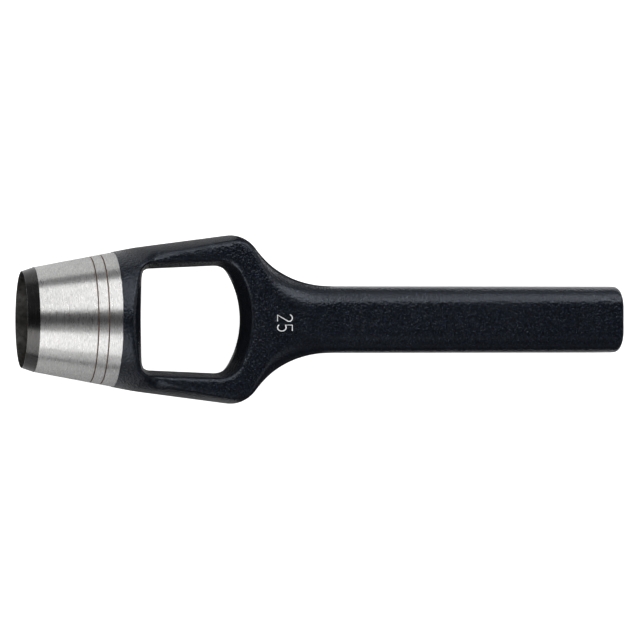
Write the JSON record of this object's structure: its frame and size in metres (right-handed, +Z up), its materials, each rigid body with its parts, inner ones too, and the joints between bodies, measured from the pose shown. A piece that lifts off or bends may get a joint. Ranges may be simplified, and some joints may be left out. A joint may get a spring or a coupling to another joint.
{
  "type": "arch punch",
  "caption": "Forged hand punch with a turned hollow cutting head, an open window that lets the cut discs out, rounded shoulders and a flat black handle to strike.",
  "frame": {"origin": "bottom centre of the punch's box as it lies on its back", "axes": "+X from the cutting edge to the struck end, +Y across the flat, +Z up; the tool's own axis falls 5 degrees towards +X because the round head is thicker than the handle"},
  "size_m": [0.166, 0.0448, 0.0369],
  "materials": {
    "black_lacquer": "satin black lacquer over a forged skin",
    "bright_steel": "fine turned and ground tool steel"
  },
  "bodies": {
    "root": {"arch_punch": "black_lacquer"}
  },
  "joints": []
}
